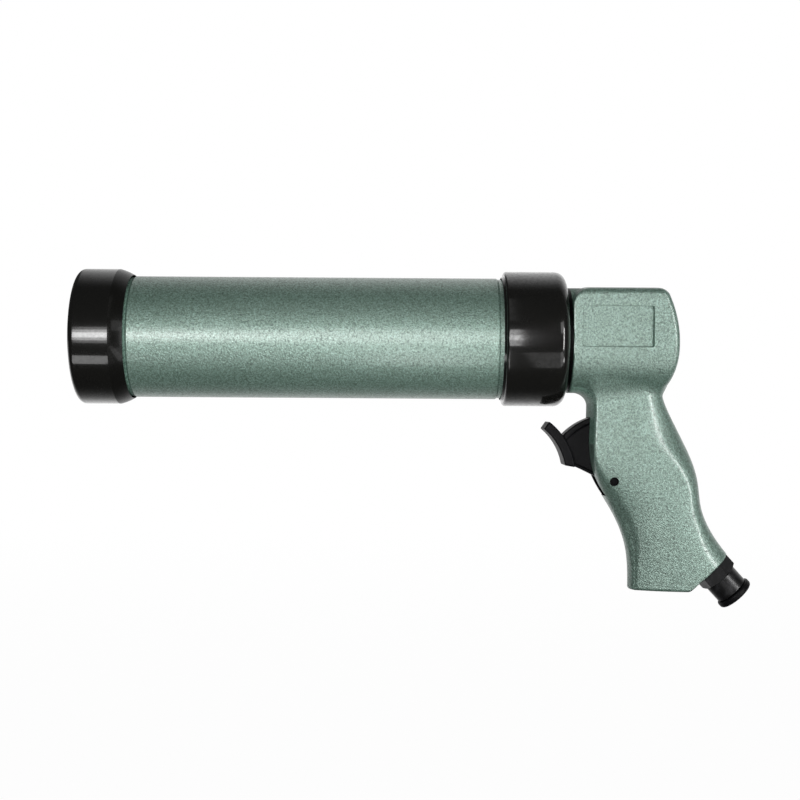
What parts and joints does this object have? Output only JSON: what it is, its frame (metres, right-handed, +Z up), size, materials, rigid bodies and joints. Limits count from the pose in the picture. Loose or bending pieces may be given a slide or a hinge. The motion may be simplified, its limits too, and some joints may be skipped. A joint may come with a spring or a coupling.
{
  "type": "pneumatic caulking tool",
  "caption": "Air-driven caulking tool: a round cartridge barrel with a screw-on front cap, joined by a collar to a pistol-grip casting with a trigger valve and a hexagon air inlet at its foot.",
  "frame": {"origin": "centre of the nozzle opening, on the front face of the cap", "axes": "-X points out of the nozzle opening along the barrel axis, +X towards the handle, +Z up, away from the foot of the grip"},
  "size_m": [0.3055, 0.0614, 0.1526],
  "materials": {
    "hammer_steel": "green hammer-finish paint on steel tube",
    "hammer_casting": "green hammer-finish paint on die casting",
    "gloss_black": "turned, gloss black",
    "black_nylon": "moulded, satin black",
    "black_steel": "turned, blackened",
    "steel": "bright zinc",
    "brass": "turned",
    "rubber": "moulded black"
  },
  "bodies": {
    "tool": {"barrel_tube": "hammer_steel", "barrel_gasket": "rubber", "rear_collar": "gloss_black", "cartridge_seal": "rubber", "seal_plate": "steel", "seal_screw": "steel", "handle_casting": "hammer_casting", "passage_plug": "steel", "trigger_pin": "steel", "valve_bushing": "brass", "bushing_o_rings": "rubber", "valve_clip": "steel", "valve_spring": "steel", "inlet_bushing": "black_steel", "inlet_o_ring": "rubber", "inlet_strainer": "brass"},
    "cap_washer": {"cap_washer": "steel"},
    "front_cap": {"front_cap": "gloss_black"},
    "trigger": {"trigger": "black_nylon"},
    "valve_stem": {"valve_stem": "brass", "stem_o_ring": "rubber", "valve_washer": "rubber"},
    "dust_plug": {"dust_plug": "black_nylon"}
  },
  "joints": [
    {"name": "trigger_swing", "type": "hinge", "parent": "tool", "child": "trigger", "pos_m": [0.2415, 0, -0.0641], "axis": [0, 1, 0], "range_deg": [0, 10], "stiffness_Nm_per_rad": 1.5, "springref_deg": -5.73, "deforming": ["valve_spring"]},
    {"name": "valve_push", "type": "slide", "parent": "tool", "child": "valve_stem", "axis": [1, 0, 0], "range_m": [0, 0.0033]},
    {"name": "cap_advance", "type": "slide", "parent": "tool", "child": "cap_washer", "axis": [-1, 0, 0], "range_m": [0, 0.0121]},
    {"name": "cap_unscrew", "type": "hinge", "parent": "cap_washer", "child": "front_cap", "pos_m": [0, 0, 0], "axis": [-1, 0, 0], "range_deg": [0, 1440]},
    {"name": "dust_plug_pull", "type": "slide", "parent": "tool", "child": "dust_plug", "axis": [0.6769, 0, -0.7361], "range_m": [0, 0.06]}
  ],
  "couplings": [
    {"joint": "valve_push", "follows": "trigger_swing", "m_per_rad": 0.0185},
    {"joint": "cap_advance", "follows": "cap_unscrew", "m_per_rad": 0.00047746}
  ]
}
